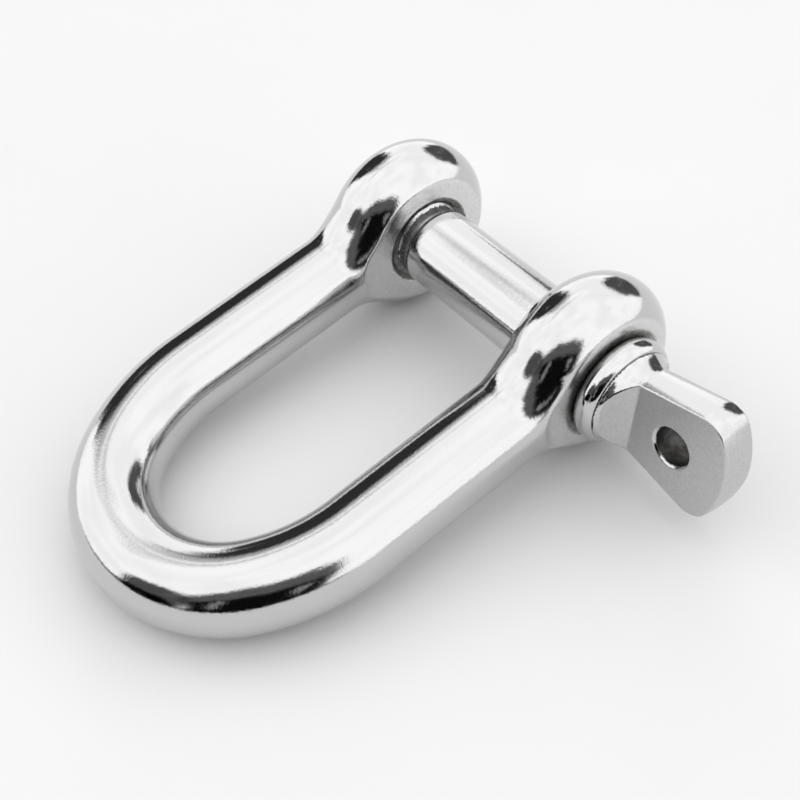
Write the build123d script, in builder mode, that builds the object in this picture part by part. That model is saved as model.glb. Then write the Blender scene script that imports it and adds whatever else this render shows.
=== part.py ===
from build123d import *
import math
import os

# Dee shackle with a screw pin, European pattern, 12 mm stainless.
# Millimetres. Origin on the pin's axis, midway between the two eyes; +Y runs along the pin from
# its flat head to its threaded tip; the crown lies towards -X; +Z is up, with the shackle lying
# on a flat surface, touching it with both eyes and the crown.

os.makedirs("parts", exist_ok=True)

# ---- driving dimensions --------------------------------------------------------------------
BAR_DIA = 12.0             # round bar the bow is forged from
LEG_SPACING = 37.8         # centre line to centre line of the two legs
PIN_TO_SIDE_ARC = 38.7     # pin axis to where the straight legs end
CROWN_DEPTH = 22.4         # from there to the bar's centre line at the crown
SIDE_ARC_R = 27.0          # the crown is three arcs: this one on each side of a tighter one

EYE_DIA = 25.8
FORGED_EYE_WIDTH = 13.0    # the eye as forged, before its two faces are milled flat
EYE_WIDTH = 11.0           # between the milled faces
EYE_RIM_CENTRE = 6.0       # the rim is half an ellipse that starts this far from the pin's axis
LEG_INTO_EYE = 4.0         # the legs stop this far short of the pin's axis
NECK_FILLET = 3.5
FACE_MILL_R = 10.5         # flat part of the cutter that faces the eyes
FACE_MILL_CORNER = 3.0

CLEARANCE_HOLE_DIA = 12.8  # plain hole in the eye beside the head
COUNTERSINK_DIA = 13.8      # in both faces of the tapped eye
COUNTERSINK_FLOOR_DIA = 12.3
HOLE_CHAMFER = 0.5

SHANK_DIA = 11.6
PITCH = 1.75               # M12 coarse, right-handed
THREAD_DIA = 11.9          # over the crests of the pin's thread
THREAD_DEPTH = 0.947       # five eighths of the height of the sharp 60 degree profile
THREAD_PLAY = 0.07         # between the pin's flanks, crests and roots and the eye's
TAP_PAST = 1.0             # the tap passes this far out of both sides of the eye
BLANK_DIA = 10.86          # plain stretch between the shank and the rolled thread
SHANK_END = 11.9
SHANK_CHAMFER = 0.5
THREAD_START = 13.6
TIP_CHAMFER = 1.0
TIP_PROUD = 0.5            # the tip stands this far out of the tapped eye

SEAT_GAP = 0.05            # eye to collar, and collar to head
COLLAR_BORE_PLAY = 0.05
COLLAR_DIA = 15.5
COLLAR_WIDTH = 3.2
COLLAR_BACK_R = 6.9        # where the rounded rim starts at the eye
COLLAR_FRONT_R = 7.1       # and where it ends in a crisp edge at the head

HEAD_BASE_R = 6.95
HEAD_LENGTH = 18.3         # from the collar to the middle of the domed end
FLARE_FROM = 3.3           # the neck's curve ends here, measured from the collar
FLARE_FROM_R = 6.3
FLARE_TO_R = 8.8           # where the flare would meet the dome, before the corner is rounded
NECK_START_WAY = (-1, -1.2)
HEAD_DOME_R = 13.8
HEAD_CORNER_R = 2.0
HEAD_THICKNESS = 5.1
DISH_FROM = 0.35           # the flats start as a hollow that runs out near the collar
DISH_TO = 2.9
DISH_HOLLOW = 0.25
HEAD_TURN = 81.4           # angle of the head's wide side from +X towards +Z, pin fully home
EYELET_FROM_BASE = 9.55
EYELET_DIA = 5.4
EYELET_CHAMFER = 0.35
CUT_PAST = 1.0             # how far the cuts across the head run past it

# ---- derived dimensions --------------------------------------------------------------------
bar_r = BAR_DIA / 2
leg_y = LEG_SPACING / 2
eye_r = EYE_DIA / 2
inner_face = leg_y - EYE_WIDTH / 2
outer_face = leg_y + EYE_WIDTH / 2
crown_x = PIN_TO_SIDE_ARC + CROWN_DEPTH

# The middle arc that is tangent to both side arcs and reaches the crown.
side_rise = SIDE_ARC_R - leg_y
middle_arc_r = (SIDE_ARC_R**2 - CROWN_DEPTH**2 - side_rise**2) / (2 * (SIDE_ARC_R - CROWN_DEPTH))
side_arc_angle = math.degrees(math.atan2(CROWN_DEPTH - middle_arc_r, side_rise))

# Both eyes and the crown touch the surface, so the bow's own plane leans down to the crown.
lean = math.asin((eye_r - bar_r) / crown_x)
LYING = Plane(
    origin=(0, 0, 0),
    x_dir=(math.cos(lean), 0, math.sin(lean)),
    z_dir=(-math.sin(lean), 0, math.cos(lean)),
)

thread_r = THREAD_DIA / 2
thread_root_r = thread_r - THREAD_DEPTH
flank = math.tan(math.radians(30))
root_half = PITCH / 8
tapped_r = thread_root_r + THREAD_PLAY


def groove_half_width(radius):
    """Half the axial width of the pin's V groove at a radius."""
    return root_half + (radius - thread_root_r) * flank


def tap_half_width(radius):
    """Half the axial width of the V groove in the tap that threads the eye: less by the flank play."""
    return groove_half_width(radius) - THREAD_PLAY / math.cos(math.radians(30))


def radial_plane(y):
    """Sketch plane through the pin's axis: x is the radius, towards -X, and y runs along the pin."""
    return Plane(origin=(0, y, 0), x_dir=(-1, 0, 0), z_dir=(0, 0, -1))


def thread_section(helix):
    """Sketch plane across the start of a helix: x points outwards from the pin's axis."""
    start = helix @ 0
    return Plane(origin=start, x_dir=(start.X, 0, start.Z), z_dir=helix % 0)


# ---- tap, the tool that cuts the eye's thread ------------------------------------------------
tap_r = thread_r + THREAD_PLAY
with BuildPart() as tap:
    with BuildSketch(radial_plane(0)):
        with BuildLine():
            Polyline(
                (0, inner_face - TAP_PAST),
                (tap_r, inner_face - TAP_PAST),
                (tap_r, outer_face + TAP_PAST),
                (0, outer_face + TAP_PAST),
                close=True,
            )
        make_face()
    revolve(axis=Axis.Y)

    # Its groove leaves the eye's ridge, in step with the groove in the pin.
    with BuildLine() as tap_path:
        tap_helix = Helix(
            PITCH,
            EYE_WIDTH + 2 * PITCH,
            tap_r,
            center=(0, inner_face - PITCH, 0),
            direction=(0, 1, 0),
        )
    with BuildSketch(thread_section(tap_helix)):
        tap_mouth = tap_r + THREAD_PLAY
        with BuildLine():
            Polyline(
                (tap_mouth - tap_r, -tap_half_width(tap_mouth)),
                (tapped_r - tap_r, -tap_half_width(tapped_r)),
                (tapped_r - tap_r, tap_half_width(tapped_r)),
                (tap_mouth - tap_r, tap_half_width(tap_mouth)),
                close=True,
            )
        make_face()
    sweep(path=tap_path.line, is_frenet=True, mode=Mode.SUBTRACT)

# ---- bow -----------------------------------------------------------------------------------
with BuildPart() as bow:
    # Round bar bent to a D: straight legs, two side arcs and the crown's middle arc.
    with BuildLine(LYING) as bar_line:
        far_leg = Line((-LEG_INTO_EYE, leg_y), (-PIN_TO_SIDE_ARC, leg_y))
        far_side = JernArc(far_leg @ 1, far_leg % 1, SIDE_ARC_R, side_arc_angle)
        crown = JernArc(far_side @ 1, far_side % 1, middle_arc_r, 180 - 2 * side_arc_angle)
        near_side = JernArc(crown @ 1, crown % 1, SIDE_ARC_R, side_arc_angle)
        Line(near_side @ 1, (-LEG_INTO_EYE, -leg_y))
    with BuildSketch(Plane(origin=bar_line.line @ 0, z_dir=bar_line.line % 0)):
        Circle(bar_r)
    sweep(path=bar_line.line)

    # Eyes as forged: a disc whose whole rim is rounded.
    for y in (leg_y, -leg_y):
        with BuildSketch(radial_plane(y)):
            with BuildLine():
                lower = Line((0, -FORGED_EYE_WIDTH / 2), (EYE_RIM_CENTRE, -FORGED_EYE_WIDTH / 2))
                rim = EllipticalCenterArc(
                    (EYE_RIM_CENTRE, 0),
                    eye_r - EYE_RIM_CENTRE,
                    FORGED_EYE_WIDTH / 2,
                    start_angle=-90,
                    arc_size=180,
                )
                upper = Line(rim @ 1, (0, FORGED_EYE_WIDTH / 2))
                Line(upper @ 1, lower @ 0)
            make_face()
        revolve(axis=Axis.Y)

    # Smooth neck where each leg runs into its eye.
    neck_edges = bow.edges().filter_by(GeomType.BSPLINE).filter_by_position(
        Axis.X, -eye_r - NECK_FILLET, -LEG_INTO_EYE
    )
    fillet(neck_edges, radius=NECK_FILLET)

    # Mill both faces of both eyes flat; the cutter's round corner runs out along the leg.
    for y in (leg_y, -leg_y):
        for side in (1, -1):
            with BuildSketch(radial_plane(y)):
                with BuildLine():
                    floor = side * EYE_WIDTH / 2
                    cut = Line((0, floor), (FACE_MILL_R, floor))
                    corner = RadiusArc(
                        cut @ 1,
                        (FACE_MILL_R + FACE_MILL_CORNER, floor + side * FACE_MILL_CORNER),
                        -side * FACE_MILL_CORNER,
                    )
                    top = Line(corner @ 1, (0, floor + side * FACE_MILL_CORNER))
                    Line(top @ 1, cut @ 0)
                make_face()
            revolve(axis=Axis.Y, mode=Mode.SUBTRACT)

    # Plain clearance hole with broken rims in the eye beside the head.
    clearance_r = CLEARANCE_HOLE_DIA / 2
    with BuildSketch(radial_plane(-leg_y)):
        with BuildLine():
            Polyline(
                (0, -EYE_WIDTH / 2),
                (clearance_r + HOLE_CHAMFER, -EYE_WIDTH / 2),
                (clearance_r, -EYE_WIDTH / 2 + HOLE_CHAMFER),
                (clearance_r, EYE_WIDTH / 2 - HOLE_CHAMFER),
                (clearance_r + HOLE_CHAMFER, EYE_WIDTH / 2),
                (0, EYE_WIDTH / 2),
                close=True,
            )
        make_face()
    revolve(axis=Axis.Y, mode=Mode.SUBTRACT)

    # Shallow countersink in both faces of the other eye.
    countersink_depth = (COUNTERSINK_DIA - COUNTERSINK_FLOOR_DIA) / 2
    for side in (1, -1):
        with BuildSketch(radial_plane(leg_y)):
            with BuildLine():
                Polyline(
                    (0, side * EYE_WIDTH / 2),
                    (COUNTERSINK_DIA / 2, side * EYE_WIDTH / 2),
                    (COUNTERSINK_FLOOR_DIA / 2, side * (EYE_WIDTH / 2 - countersink_depth)),
                    (0, side * (EYE_WIDTH / 2 - countersink_depth)),
                    close=True,
                )
            make_face()
        revolve(axis=Axis.Y, mode=Mode.SUBTRACT)

    # M12 thread tapped through it.
    add(tap.part, mode=Mode.SUBTRACT)
bow.part.label = "bow"
export_step(bow.part, "parts/bow.step")

# ---- collar --------------------------------------------------------------------------------
collar_back = -outer_face - SEAT_GAP
collar_front = collar_back - COLLAR_WIDTH
collar_bore = SHANK_DIA / 2 + COLLAR_BORE_PLAY
with BuildPart() as collar:
    # Ring with a full rounded rim and a crisp front edge, turned about the pin's axis.
    with BuildSketch(radial_plane(0)):
        with BuildLine():
            back = Line((collar_bore, collar_back), (COLLAR_BACK_R, collar_back))
            rounded_rim = ThreePointArc(
                back @ 1,
                (COLLAR_DIA / 2, (collar_back + collar_front) / 2),
                (COLLAR_FRONT_R, collar_front),
            )
            front = Line(rounded_rim @ 1, (collar_bore, collar_front))
            Line(front @ 1, back @ 0)
        make_face()
    revolve(axis=Axis.Y)
collar.part.label = "collar"
export_step(collar.part, "parts/collar.step")

# ---- screw pin -----------------------------------------------------------------------------
head_base = collar_front - SEAT_GAP
head_end = head_base - HEAD_LENGTH
tip = outer_face + TIP_PROUD
shank_r = SHANK_DIA / 2
blank_r = BLANK_DIA / 2
with BuildPart() as screw_pin:
    # Threaded end: a plain cylinder with both ends chamfered.
    with BuildSketch(radial_plane(0)):
        with BuildLine():
            Polyline(
                (0, tip),
                (thread_r - TIP_CHAMFER, tip),
                (thread_r, tip - TIP_CHAMFER),
                (thread_r, THREAD_START + thread_r - blank_r),
                (blank_r, THREAD_START),
                (0, THREAD_START),
                close=True,
            )
        make_face()
    revolve(axis=Axis.Y)

    # Right-hand thread: a V groove wound from the tapped eye's inner face out past the tip.
    with BuildLine() as groove_path:
        groove_helix = Helix(
            PITCH,
            tip - inner_face + PITCH,
            thread_r,
            center=(0, inner_face, 0),
            direction=(0, 1, 0),
        )
    with BuildSketch(thread_section(groove_helix)):
        groove_mouth = thread_r + THREAD_PLAY
        with BuildLine():
            Polyline(
                (groove_mouth - thread_r, -groove_half_width(groove_mouth)),
                (thread_root_r - thread_r, -root_half),
                (thread_root_r - thread_r, root_half),
                (groove_mouth - thread_r, groove_half_width(groove_mouth)),
                close=True,
            )
        make_face()
    sweep(path=groove_path.line, is_frenet=True, mode=Mode.SUBTRACT)

    # Turned from the bar: plain stretch, shank, shoulder, and the flared round head.
    dome_centre = head_end + HEAD_DOME_R
    flare_end = (FLARE_TO_R, dome_centre - math.sqrt(HEAD_DOME_R**2 - FLARE_TO_R**2))
    neck_end = (FLARE_FROM_R, head_base - FLARE_FROM)
    flare_way = (flare_end[0] - neck_end[0], flare_end[1] - neck_end[1])
    with BuildSketch(radial_plane(0)):
        with BuildLine():
            turned = Polyline(
                (0, THREAD_START),
                (blank_r, THREAD_START),
                (blank_r, SHANK_END),
                (shank_r - SHANK_CHAMFER, SHANK_END),
                (shank_r, SHANK_END - SHANK_CHAMFER),
                (shank_r, head_base),
                (HEAD_BASE_R, head_base),
            )
            neck = Spline(turned @ 1, neck_end, tangents=[NECK_START_WAY, flare_way])
            flare = Line(neck @ 1, flare_end)
            dome = RadiusArc(flare @ 1, (0, head_end), HEAD_DOME_R)
            Line(dome @ 1, turned @ 0)
        make_face()
        fillet(vertices().sort_by(Axis.X)[-1], radius=HEAD_CORNER_R)
    revolve(axis=Axis.Y)

    # Two flats ground across the head, each running out in a hollow beside the collar.
    head_wide = (math.cos(math.radians(HEAD_TURN)), 0, math.sin(math.radians(HEAD_TURN)))
    side_view = Plane(origin=(0, head_base, 0), x_dir=(0, -1, 0), z_dir=head_wide)
    for side in (1, -1):
        with BuildSketch(side_view):
            with BuildLine():
                hollow = SagittaArc(
                    (DISH_FROM, side * HEAD_BASE_R),
                    (DISH_TO, side * HEAD_THICKNESS / 2),
                    side * DISH_HOLLOW,
                )
                Polyline(
                    hollow @ 1,
                    (HEAD_LENGTH + CUT_PAST, side * HEAD_THICKNESS / 2),
                    (HEAD_LENGTH + CUT_PAST, side * (FLARE_TO_R + CUT_PAST)),
                    (DISH_FROM, side * (FLARE_TO_R + CUT_PAST)),
                    hollow @ 0,
                )
            make_face()
        extrude(amount=FLARE_TO_R + CUT_PAST, both=True, mode=Mode.SUBTRACT)

    # Eyelet through the flats for mousing wire, its rims broken.
    with BuildSketch(Plane(origin=(0, head_base - EYELET_FROM_BASE, 0), z_dir=side_view.y_dir)):
        Circle(EYELET_DIA / 2)
    extrude(amount=HEAD_THICKNESS, both=True, mode=Mode.SUBTRACT)
    eyelet_rims = screw_pin.edges().filter_by(GeomType.CIRCLE).filter_by(
        lambda rim_edge: abs(rim_edge.radius - EYELET_DIA / 2) < 0.001
    )
    chamfer(eyelet_rims, length=EYELET_CHAMFER)
screw_pin.part.label = "screw_pin"
export_step(screw_pin.part, "parts/screw_pin.step")
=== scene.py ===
import math

import bpy
import numpy as np
from mathutils import Matrix, Vector


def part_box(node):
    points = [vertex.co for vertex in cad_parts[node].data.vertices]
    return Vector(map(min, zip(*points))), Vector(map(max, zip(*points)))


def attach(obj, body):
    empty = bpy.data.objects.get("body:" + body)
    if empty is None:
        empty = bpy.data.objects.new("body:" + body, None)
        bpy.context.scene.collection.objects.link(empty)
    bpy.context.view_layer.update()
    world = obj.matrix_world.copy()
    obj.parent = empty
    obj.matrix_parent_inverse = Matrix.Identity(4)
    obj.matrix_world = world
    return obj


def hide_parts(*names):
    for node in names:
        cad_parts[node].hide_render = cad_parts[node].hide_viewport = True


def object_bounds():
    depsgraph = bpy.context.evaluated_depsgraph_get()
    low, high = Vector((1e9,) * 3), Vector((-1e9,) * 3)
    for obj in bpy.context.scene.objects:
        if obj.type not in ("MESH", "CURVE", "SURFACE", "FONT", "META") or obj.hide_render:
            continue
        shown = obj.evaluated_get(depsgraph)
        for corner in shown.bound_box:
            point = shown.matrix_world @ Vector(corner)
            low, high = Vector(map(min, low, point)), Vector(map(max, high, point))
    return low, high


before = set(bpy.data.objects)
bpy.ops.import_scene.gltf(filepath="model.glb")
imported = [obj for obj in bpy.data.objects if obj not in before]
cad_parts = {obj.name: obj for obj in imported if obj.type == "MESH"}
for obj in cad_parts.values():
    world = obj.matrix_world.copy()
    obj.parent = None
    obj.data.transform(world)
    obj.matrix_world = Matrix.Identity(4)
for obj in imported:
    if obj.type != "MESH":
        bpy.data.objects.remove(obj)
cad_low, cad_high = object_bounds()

MM = 0.001
bow_low, bow_high = (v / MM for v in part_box("bow"))
collar_low, collar_high = (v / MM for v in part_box("collar"))
pin_low, pin_high = (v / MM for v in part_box("screw_pin"))

# ---- sizes in millimetres, as in the CAD ----------------------------------------------------
BAR_R = 6.0
SIDE_X = 38.7
SIDE_R = 27.0
CROWN_DEPTH = 22.4
EYE_HALF = 5.5
EYE_R = bow_high.z
LEG_Y = bow_high.y - BAR_R
CROWN_X = SIDE_X + CROWN_DEPTH
MID_R = (SIDE_R**2 - CROWN_DEPTH**2 - (SIDE_R - LEG_Y) ** 2) / (2 * (SIDE_R - CROWN_DEPTH))
SIDE_TURN = math.atan2(CROWN_DEPTH - MID_R, SIDE_R - LEG_Y)
LEAN = math.asin((EYE_R - BAR_R) / CROWN_X)
FORGED_HALF = 6.5
RIM_CENTRE = 6.0
LEG_INTO_EYE = 4.0
NECK_FILLET = 3.0
MILL_R = 10.5
MILL_CORNER = 3.0
CLEARANCE_R = 6.4
HOLE_MOUTH_R = 6.9
CHAMFER_DEPTH = 0.5
COUNTERSINK_DEPTH = 0.75

PITCH = 1.75
THREAD_START_Y = LEG_Y - EYE_HALF
TAPPED = (5.073, 0.178, 6.02)           # root radius, half width of the root, crest radius
SHANK_R = 5.8
SHANK_END = 11.9
BLANK_R = 5.43
BLANK_END = 13.6
CREST_R = 5.95
ROLLED = (5.003, PITCH / 8, CREST_R)
SHANK_CHAMFER = 0.5
TIP_CHAMFER = 1.0

COLLAR_Y = (collar_low.y + collar_high.y) / 2
COLLAR_HALF = (collar_high.y - collar_low.y) / 2
COLLAR_RIM = (5.67, 2.08)               # centre and radius of the rounded rim
PLAY = 0.05
HEAD_BASE = collar_low.y - PLAY
HEAD_END = pin_low.y
HEAD_DOME = 13.8
HEAD_CORNER = 2.0
HEAD_TURN = math.radians(81.4)
FLAT_HALF = 2.55
NECK = (6.95, 6.3, 8.8, 3.3)            # radii at the collar, waist and dome, and the waist's place
NECK_DROP = 2.18                        # how steeply the neck falls away from the collar
HOLLOW = (0.35, 2.9, 0.25)              # from, to and depth of the hollow that starts the flats
EYELET_Y = HEAD_BASE - 9.55
EYELET_R = 2.7
EYELET_CHAMFER = 0.35


def smax(a, b, r):
    """Larger of two distances, with the edge between them rounded to radius r."""
    return np.minimum(-r, np.maximum(a, b)) + np.hypot(np.maximum(r + a, 0), np.maximum(r + b, 0))


def smin(a, b, r):
    """Smaller of two distances, with the corner between them filled to radius r."""
    return -smax(-a, -b, r)


def gradient(f, p, h=0.01):
    steps = np.eye(3) * h
    return np.stack([(f(*(p + d).T) - f(*(p - d).T)) / (2 * h) for d in steps], 1)


def surface(f, low, high, cell):
    """Vertices and quads of the surface f = 0: one vertex in each crossed cell, moved onto it."""
    n = [int(math.ceil((b - a) / cell)) + 1 for a, b in zip(low, high)]
    axes = [low[i] + cell * np.arange(n[i]) for i in range(3)]
    v = np.empty(n, np.float32)
    for i in range(n[0]):
        v[i] = f(axes[0][i], axes[1][:, None], axes[2][None, :])
    cells = [k - 1 for k in n]
    count = np.zeros(cells, np.int8)
    total = np.zeros(cells + [3], np.float32)

    def corner(d):
        return v[tuple(slice(o, n[i] - 1 + o) for i, o in enumerate(d))]

    for axis in range(3):
        p, q = [i for i in range(3) if i != axis]
        for at in ((0, 0), (0, 1), (1, 0), (1, 1)):
            start = [0, 0, 0]
            start[p], start[q] = at
            stop = list(start)
            stop[axis] = 1
            a, b = corner(start), corner(stop)
            cross = (a < 0) != (b < 0)
            count += cross
            total[..., axis] += np.where(cross, a / np.where(cross, a - b, 1), 0)
            total[..., p] += cross * start[p]
            total[..., q] += cross * start[q]
    used = count > 0
    ids = np.full(used.shape, -1, np.int64)
    ids[used] = np.arange(used.sum())
    verts = (np.argwhere(used) + total[used] / count[used][:, None]) * cell + np.array(low)

    quads = []
    inside = v < 0
    for axis in range(3):
        span = [slice(1, k - 1) for k in n]
        ahead = list(span)
        span[axis] = slice(0, n[axis] - 1)
        ahead[axis] = slice(1, n[axis])
        first, second = inside[tuple(span)], inside[tuple(ahead)]
        edge = np.argwhere(first != second)
        down = first[tuple(edge.T)]
        eb, ec = np.eye(3, dtype=int)[(axis + 1) % 3], np.eye(3, dtype=int)[(axis + 2) % 3]
        at = edge + eb + ec
        quad = np.stack([ids[tuple((at - o).T)] for o in (eb + ec, ec, 0 * eb, eb)], 1)
        quad[~down] = quad[~down][:, ::-1]
        quads.append(quad)

    for _ in range(4):
        g = gradient(f, verts)
        step = f(*verts.T)[:, None] * g / np.maximum((g * g).sum(1), 0.05)[:, None]
        size = np.linalg.norm(step, axis=1, keepdims=True)
        verts = verts - step * np.minimum(1, 0.6 * cell / np.maximum(size, 1e-9))
    return verts, np.concatenate(quads)


def piece(name, f, finish_and_shade, low, high, cell, margin=1.0):
    """Mesh object of the solid f < 0, with the share of satin and the share of dull steel darkened by
    painted shade at each vertex.
    """
    verts, quads = surface(f, [v - margin for v in low], [v + margin for v in high], cell)
    normals = gradient(f, verts)
    normals /= np.linalg.norm(normals, axis=1, keepdims=True)
    mesh = bpy.data.meshes.new(name)
    mesh.from_pydata((verts * MM).tolist(), [], quads.tolist())
    mesh.polygons.foreach_set("use_smooth", np.ones(len(quads), bool))
    mesh.normals_split_custom_set_from_vertices(normals.tolist())
    for kind, share in zip(("satin", "dull_and_shade"), finish_and_shade(*verts.T)):
        layer = mesh.attributes.new(kind, "FLOAT", "POINT")
        layer.data.foreach_set("value", np.clip(share, 0, 1).astype(np.float32))
    mesh.update()
    obj = bpy.data.objects.new(name, mesh)
    bpy.context.scene.collection.objects.link(obj)
    return obj


def fade(d, start, stop):
    """1 up to start, falling smoothly to 0 at stop."""
    k = np.clip((stop - d) / (stop - start), 0, 1)
    return k * k * (3 - 2 * k)


# ---- bow -----------------------------------------------------------------------------------
def thread_radius(x, y, z, root, half_root, crest):
    turns = (y - THREAD_START_Y) / PITCH - np.arctan2(-z, x) / (2 * math.pi)
    off = np.abs((turns + 0.5) % 1.0 - 0.5) * PITCH
    return np.clip(root + (off - half_root) / math.tan(math.radians(30)), root, crest)


def cutter_gap(r, a):
    """Distance to the cutter that mills the eyes' faces."""
    reach = np.maximum(EYE_HALF + MILL_CORNER - a, 0)
    return np.hypot(np.maximum(r - MILL_R, 0), reach) - MILL_CORNER


def bow_field(x, y, z):
    c, s = math.cos(LEAN), math.sin(LEAN)
    u, w, h = x * c + z * s, z * c - x * s, np.abs(y)
    leg = np.hypot(h - LEG_Y, np.maximum(u + LEG_INTO_EYE, 0))
    su, sh = -(u + SIDE_X), h + SIDE_R - LEG_Y
    side = np.hypot(su, sh) - SIDE_R
    middle = np.hypot(u + CROWN_X - MID_R, h) - MID_R
    crown = np.where(np.arctan2(su, sh) < SIDE_TURN, side, middle)
    bar = np.hypot(np.where(u > -SIDE_X, leg, crown), w) - BAR_R
    r, a = np.hypot(x, z), np.abs(h - LEG_Y)
    squeeze = FORGED_HALF / (EYE_R - RIM_CENTRE)
    rim = np.hypot(np.maximum(r - RIM_CENTRE, 0) * squeeze, a) - FORGED_HALF
    body = smax(smin(bar, rim, NECK_FILLET), h - LEG_Y - BAR_R, 0.3)
    body = smax(body, -cutter_gap(r, a), 0.22)
    near = y < 0
    wall = np.where(near, CLEARANCE_R, thread_radius(x, y, z, *TAPPED))
    depth = np.where(near, CHAMFER_DEPTH, COUNTERSINK_DEPTH)
    cone = (r - HOLE_MOUTH_R + EYE_HALF - a) / math.sqrt(2)
    hole = np.minimum(r - wall, np.maximum(cone, EYE_HALF - depth - a))
    return smax(body, -hole, 0.12)


def bow_finish_and_shade(x, y, z):
    r, a = np.hypot(x, z), np.abs(np.abs(y) - LEG_Y)
    face = fade(np.abs(cutter_gap(r, a)), 0.04, 0.2) * (r > SHANK_R)
    # The second share darkens the tone. The holes' walls are dull, unpolished steel plus painted shade,
    # and a painted contact shadow lies on the near eye's face around the collar.
    hole = fade(r, HOLE_MOUTH_R - 0.05, HOLE_MOUTH_R + 0.05)
    painted_collar_shadow = fade(r, 8.0, 8.5) * (y < -LEG_Y - EYE_HALF + 0.1)
    return face, np.maximum(hole, painted_collar_shadow)


bow = piece("bow_forged", bow_field, bow_finish_and_shade, bow_low, bow_high, 0.3)


# ---- collar --------------------------------------------------------------------------------
def collar_field(x, y, z):
    r, a = np.hypot(x, z), np.abs(y - COLLAR_Y)
    centre, radius = COLLAR_RIM
    ring = np.hypot(r - centre, a) - radius
    return smax(smax(ring, a - COLLAR_HALF, 0.12), SHANK_R + PLAY - r, 0.15)


def collar_shade(x, y, z):
    # Painted contact shadow: the collar's back edge, where it meets the eye, gets the dark second share.
    return 0 * x, fade(collar_high.y - y, 0.35, 0.75)


collar = piece("collar_ring", collar_field, collar_shade, collar_low, collar_high, 0.2)


# ---- screw pin -----------------------------------------------------------------------------
def head_radius(t):
    """Radius of the round head, and its slope, t millimetres from the collar."""
    base, waist, flare, neck = NECK
    end = HEAD_BASE - HEAD_END - HEAD_DOME + math.sqrt(HEAD_DOME**2 - flare**2)
    slope = (flare - waist) / (end - neck)
    k = np.clip(t / neck, 0, 1)
    curve = base + (waist - base) * k * k * (3 - 2 * k)
    curve = curve - NECK_DROP * k * (1 - k) ** 2 - slope * neck * k * k * (1 - k)
    return np.where(t < neck, curve, waist + slope * (t - neck)), slope


def flat_gap(t, across):
    """Distance to the ground flats of the head and the hollows beside the collar, outwards."""
    start, stop, sag = HOLLOW
    rise, run = NECK[0] - FLAT_HALF, stop - start
    half = math.hypot(run, rise) / 2
    bend = (half**2 + sag**2) / (2 * sag)
    middle = ((start + stop) / 2, (NECK[0] + FLAT_HALF) / 2)
    way = (run / (2 * half), -rise / (2 * half))
    centre = (middle[0] - way[1] * (bend - sag), middle[1] + way[0] * (bend - sag))
    hollow = bend - np.hypot(t - centre[0], across - centre[1])
    return smin(across - FLAT_HALF, hollow, 0.2)


def head_axes(x, z):
    c, s = math.cos(HEAD_TURN), math.sin(HEAD_TURN)
    return x * c + z * s, np.abs(z * c - x * s)


def dome_gap(r, y):
    return np.hypot(r, y - HEAD_END - HEAD_DOME) - HEAD_DOME


def pin_field(x, y, z):
    r, root2 = np.hypot(x, z), math.sqrt(2)
    shank = smax(r - SHANK_R, np.maximum(y - SHANK_END, HEAD_BASE - 0.1 - y), 0.1)
    shank = smax(shank, (r - SHANK_R + y - SHANK_END + SHANK_CHAMFER) / root2, 0.1)
    blank = smax(r - BLANK_R, np.maximum(y - BLANK_END - 1.4, 8.0 - y), 0.1)
    tip = pin_high.y
    wall = thread_radius(x, y, z, *ROLLED)
    thread = smax((r - wall) * 0.8, np.maximum(y - tip, BLANK_END - y), 0.1)
    thread = smax(thread, (r - CREST_R + y - tip + TIP_CHAMFER) / root2, 0.1)
    thread = smax(thread, (r - BLANK_R - y + BLANK_END) / root2, 0.1)
    rod = np.minimum(smin(shank, blank, 0.15), thread)

    t = HEAD_BASE - y
    radius, slope = head_radius(t)
    head = smax((r - radius) / math.sqrt(1 + slope**2), dome_gap(r, y), HEAD_CORNER)
    head = smax(head, y - HEAD_BASE, 0.15)
    along, across = head_axes(x, z)
    head = smax(head, flat_gap(t, across), 0.18)
    reach = np.hypot(along, y - EYELET_Y) - EYELET_R
    eyelet = np.minimum(reach, (reach - across + FLAT_HALF - EYELET_CHAMFER) / root2)
    return np.minimum(rod, smax(head, -eyelet, 0.08))


def pin_finish_and_shade(x, y, z):
    along, across = head_axes(x, z)
    t = HEAD_BASE - y
    ground = fade(np.abs(flat_gap(t, across)), 0.03, 0.12) * (t > 0.6)
    end = fade(np.abs(dome_gap(np.hypot(x, z), y)), 0.05, 0.5) * (t > 14)
    # The eyelet's bore gets the dark second share: dull, unpolished steel plus painted shade in the
    # recess.
    eyelet = fade(np.hypot(along, y - EYELET_Y), EYELET_R + 0.05, EYELET_R + 0.2) * (t > 2)
    eyelet = eyelet * fade(across, FLAT_HALF - EYELET_CHAMFER, FLAT_HALF - EYELET_CHAMFER + 0.1)
    threads = 0.6 * fade(SHANK_END + 0.1 - y, 0.0, 0.1)
    return np.maximum(np.maximum(ground, 0.8 * end), threads), eyelet


pin = piece("pin_turned", pin_field, pin_finish_and_shade, pin_low, pin_high, 0.22)

for obj, body, slot in (
    (bow, "bow", "polished_stainless"),
    (collar, "collar", "polished_stainless"),
    (pin, "screw_pin", "pin_stainless"),
):
    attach(obj, body)
    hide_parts(body)


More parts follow.
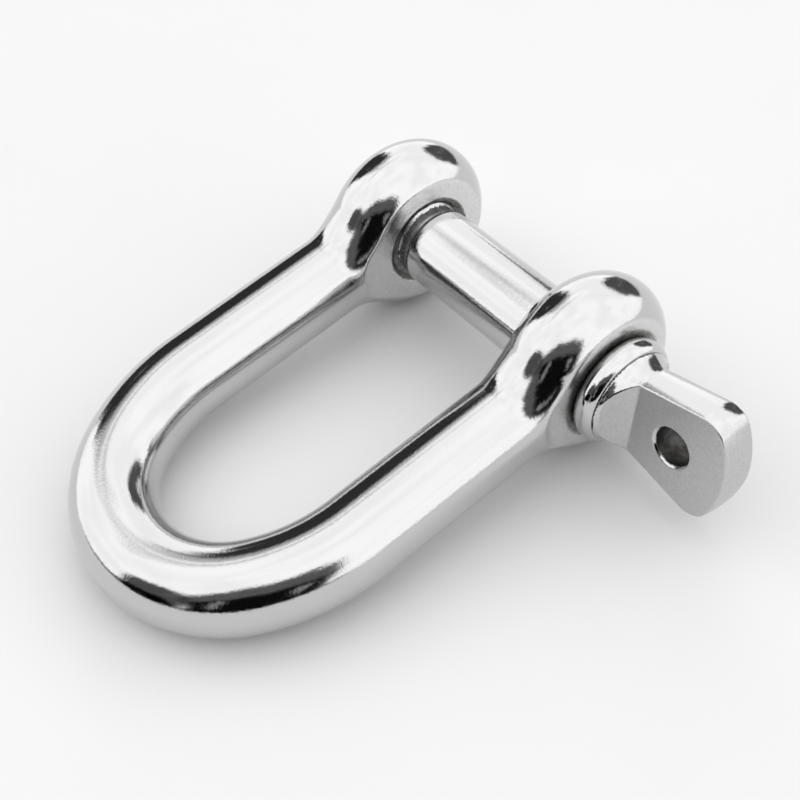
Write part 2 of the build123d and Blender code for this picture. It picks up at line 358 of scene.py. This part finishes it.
# ---- materials -----------------------------------------------------------------------------
class Nodes:
    """A node tree, and short ways to add to it."""

    def __init__(self, tree):
        self.tree = tree
        tree.nodes.clear()

    def add(self, kind, inputs=(), **settings):
        node = self.tree.nodes.new(kind)
        for key, value in settings.items():
            setattr(node, key, value)
        for key, value in dict(inputs).items():
            if isinstance(value, bpy.types.NodeSocket):
                self.tree.links.new(value, node.inputs[key])
            else:
                node.inputs[key].default_value = value
        return node

    def math(self, operation, a, b=0.0, c=0.0):
        return self.add("ShaderNodeMath", {0: a, 1: b, 2: c}, operation=operation).outputs[0]

    def noise(self, where, scale, detail=3.0, roughness=0.5):
        inputs = {"Vector": where, "Scale": scale, "Detail": detail, "Roughness": roughness}
        return self.add("ShaderNodeTexNoise", inputs).outputs["Fac"]

    def ramp(self, value, low, high, out_low=0.0, out_high=1.0):
        inputs = {0: value, 1: low, 2: high, 3: out_low, 4: out_high}
        return self.add("ShaderNodeMapRange", inputs, interpolation_type="SMOOTHSTEP").outputs[0]

    def mix(self, share, a, b):
        node = self.add("ShaderNodeMix", {"Factor": share}, data_type="RGBA")
        for socket, value in ((node.inputs[6], a), (node.inputs[7], b)):
            if isinstance(value, bpy.types.NodeSocket):
                self.tree.links.new(value, socket)
            else:
                socket.default_value = value
        return node.outputs[2]


STEEL = 0.57
DULL_ROUGH = 0.45
WAVE_HEIGHT, PIT_HEIGHT, LINE_HEIGHT = 12e-6, 11e-6, 3e-6  # metres


def steel(name, shade, polish, satin_rough, ground_tone, dull_and_shade_tone, grain, grain_way):
    """Stainless steel: polished, ground to a satin where the mesh says so, dull and darkened with painted
    shade in its recesses and where parts meet.
    """
    mat = bpy.data.materials.new(name)
    mat.use_nodes = True
    n = Nodes(mat.node_tree)
    place = n.add("ShaderNodeTexCoord").outputs["Object"]
    satin = n.add("ShaderNodeAttribute", attribute_name="satin").outputs["Fac"]
    dull_and_shade = n.add("ShaderNodeAttribute", attribute_name="dull_and_shade").outputs["Fac"]

    def grey(share, warm=0.0):
        return (shade * share * (1 + warm), shade * share, shade * share * (1 - warm), 1)

    stretch = n.add("ShaderNodeMapping", {"Vector": place, "Scale": grain_way}).outputs[0]
    lines = n.noise(stretch, grain, 3, 0.7)
    fine = n.noise(place, 4200, 2, 0.7)
    polished = n.mix(n.noise(place, 90, 4, 0.6), grey(0.95), grey(1.04))
    ground = n.mix(n.ramp(fine, 0.35, 0.65), grey(ground_tone * 0.92), grey(ground_tone * 1.08))
    # Painted shade: a dark, slightly warm, patchy tone for the hole walls, the eyelet bore and the
    # collar's joint with the eye. It is partly the real dull, unpolished steel and partly painted shade.
    patchy = n.ramp(n.noise(place, 700, 4, 0.7), 0.35, 0.65)
    stain_and_shade = n.mix(patchy, grey(dull_and_shade_tone, 0.04), grey(dull_and_shade_tone * 2.2, 0.02))
    tone = n.mix(dull_and_shade, n.mix(satin, polished, ground), stain_and_shade)

    shiny = n.ramp(fine, 0.35, 0.75, polish * 0.6, polish * 1.7)
    brushed = n.ramp(n.noise(place, 900, 3, 0.6), 0.3, 0.7, satin_rough * 0.85, satin_rough * 1.15)
    rough = n.add("ShaderNodeMix", {0: satin, 2: shiny, 3: brushed}, data_type="FLOAT").outputs[0]
    rough = n.add("ShaderNodeMix", {0: dull_and_shade, 2: rough, 3: DULL_ROUGH}, data_type="FLOAT").outputs[0]

    wave = n.noise(place, 240, 2, 0.5)
    pits = n.noise(place, 3300, 2, 0.65)
    height = n.math("MULTIPLY", wave, WAVE_HEIGHT)
    height = n.math("MULTIPLY_ADD", pits, PIT_HEIGHT, height)
    height = n.math("MULTIPLY_ADD", n.math("MULTIPLY", lines, satin), LINE_HEIGHT, height)
    bump = n.add("ShaderNodeBump", {"Strength": 1.0, "Distance": 1.0, "Height": height})

    shader = n.add(
        "ShaderNodeBsdfPrincipled",
        {"Base Color": tone, "Metallic": 1.0, "Roughness": rough, "Normal": bump.outputs[0]},
    )
    n.add("ShaderNodeOutputMaterial", {"Surface": shader.outputs[0]})
    return mat


bow.data.materials.append(steel("bow_steel", STEEL, 0.07, 0.24, 1.24, 0.28, 3600, (1, 1, 1)))
collar.data.materials.append(steel("collar_steel", STEEL, 0.06, 0.30, 1.2, 0.10, 3600, (1, 1, 1)))
pin.data.materials.append(steel("pin_steel", STEEL, 0.07, 0.36, 0.95, 0.07, 3000, (1, 0.2, 1)))

# ---- floor, light and camera ---------------------------------------------------------------
FLOOR_HALF = 3.0
floor_z = cad_low.z
mesh = bpy.data.meshes.new("floor")
corners = [(-1, -1), (1, -1), (1, 1), (-1, 1)]
mesh.from_pydata([(x * FLOOR_HALF, y * FLOOR_HALF, floor_z) for x, y in corners], [], [(0, 1, 2, 3)])
floor = bpy.data.objects.new("floor", mesh)
bpy.context.scene.collection.objects.link(floor)

mat = bpy.data.materials.new("pale_floor")
mat.use_nodes = True
n = Nodes(mat.node_tree)
place = n.add("ShaderNodeTexCoord").outputs["Object"]
paper = n.mix(n.noise(place, 30, 4), (0.75, 0.75, 0.75, 1), (0.77, 0.77, 0.77, 1))
shader = n.add("ShaderNodeBsdfPrincipled", {"Base Color": paper, "Roughness": 0.9})
shader.inputs["Specular IOR Level"].default_value = 0.1
n.add("ShaderNodeOutputMaterial", {"Surface": shader.outputs[0]})
mesh.materials.append(mat)

# White studio with darker things standing in it, and gaps in those. Each patch: the compass way
# it lies (degrees from +Y towards +X), its height, half width and half height in degrees, the
# softness of its edge, and what it multiplies the light by.
STUDIO_LIGHT = 1.62
RAGGED = 0.2  # how far the patches' edges wander
PATCHES = (
    (-137, 21, 33, 29, 0.4, 0.09),
    (-135, 14, 31, 17, 0.5, 0.04),
    (-119, 18, 3, 9, 0.6, 60.0),
    (-157, 15, 2.5, 6, 0.6, 60.0),
    (-84, 4, 15, 11, 0.2, 0.01),
    (-86, 18, 17, 19, 0.4, 0.07),
    (7, 15, 14.5, 26, 0.4, 0.06),
    (7, 24, 14.5, 26, 0.5, 0.45),
    (4, 56, 22, 1.6, 0.9, 0.6),
    (77, 13, 20, 20, 0.4, 0.07),
    (-110, 0.5, 70, 5, 0.5, 0.10),
)
world = bpy.data.worlds.new("studio")
bpy.context.scene.world = world
world.use_nodes = True
n = Nodes(world.node_tree)
way = n.add("ShaderNodeTexCoord").outputs["Generated"]
stray = n.add("ShaderNodeTexNoise", {"Vector": way, "Scale": 6.0, "Detail": 3.0}).outputs["Color"]
stray = n.add("ShaderNodeVectorMath", {0: stray, 1: (0.5, 0.5, 0.5)}, operation="SUBTRACT").outputs[0]
stray = n.add("ShaderNodeVectorMath", {0: stray, 1: [RAGGED] * 3}, operation="MULTIPLY").outputs[0]
way = n.add("ShaderNodeVectorMath", {0: way, 1: stray}, operation="ADD").outputs[0]


def part_along(direction):
    return n.add("ShaderNodeVectorMath", {0: way, 1: direction}, operation="DOT_PRODUCT").outputs["Value"]


def cubed_share(part, depth, half):
    """Cube of how far out part is, as a share of half degrees."""
    edge = n.math("MULTIPLY", depth, math.tan(math.radians(half)))
    return n.math("POWER", n.math("ABSOLUTE", n.math("DIVIDE", part, edge)), 3)


light = 1.0
for compass, height, half_w, half_h, soft, factor in PATCHES:
    a, e = math.radians(compass), math.radians(height)
    ahead = Vector((math.sin(a) * math.cos(e), math.cos(a) * math.cos(e), math.sin(e)))
    right = Vector((math.cos(a), -math.sin(a), 0))
    depth = n.math("MAXIMUM", part_along(ahead), 0.001)
    wide = cubed_share(part_along(right), depth, half_w)
    tall = cubed_share(part_along(right.cross(ahead)), depth, half_h)
    light = n.math("MULTIPLY", light, n.ramp(n.math("ADD", wide, tall), 1 - soft, 1 + soft, factor, 1.0))
upright = n.add("ShaderNodeMapping", {"Vector": way, "Scale": (1, 1, 0.4)}).outputs[0]
light = n.math("POWER", light, n.ramp(n.noise(upright, 7, 3, 0.6), 0.6, 0.72, 1.0, 0.3))
light = n.math("MULTIPLY", light, n.ramp(n.noise(way, 2.4, 1), 0.35, 0.65, 0.9, 1.0))
studio = n.add("ShaderNodeBackground", {"Strength": n.math("MULTIPLY", light, STUDIO_LIGHT)})
studio.inputs["Color"].default_value = (1, 1, 1, 1)
backdrop = n.add("ShaderNodeBackground", {"Color": (0.92, 0.92, 0.92, 1), "Strength": 1.0})
seen = n.add("ShaderNodeLightPath").outputs["Is Camera Ray"]
shown = n.add("ShaderNodeMixShader", {0: seen, 1: studio.outputs[0], 2: backdrop.outputs[0]})
n.add("ShaderNodeOutputWorld", {"Surface": shown.outputs[0]})

AZIMUTH, ELEVATION, ROLL = -33.4, 49.0, -6.8
DISTANCE = 0.1738
AIM_FROM_CENTRE = Vector((0.00334, 0.00099, 0.00232))
a, e = math.radians(AZIMUTH), math.radians(ELEVATION)
back = Vector((math.sin(a) * math.cos(e), -math.cos(a) * math.cos(e), math.sin(e)))
cam = bpy.data.cameras.new("camera")
cam.lens = 60.47
cam.sensor_width = 36.0
cam.clip_start = 0.01
camera = bpy.data.objects.new("camera", cam)
bpy.context.scene.collection.objects.link(camera)
aim = (cad_low + cad_high) / 2 + AIM_FROM_CENTRE
turn = (-back).to_track_quat("-Z", "Y").to_matrix().to_4x4()
roll = Matrix.Rotation(math.radians(ROLL), 4, "Z")
camera.matrix_world = Matrix.Translation(aim + back * DISTANCE) @ turn @ roll
bpy.context.scene.camera = camera
bpy.context.scene.view_settings.view_transform = "Standard"
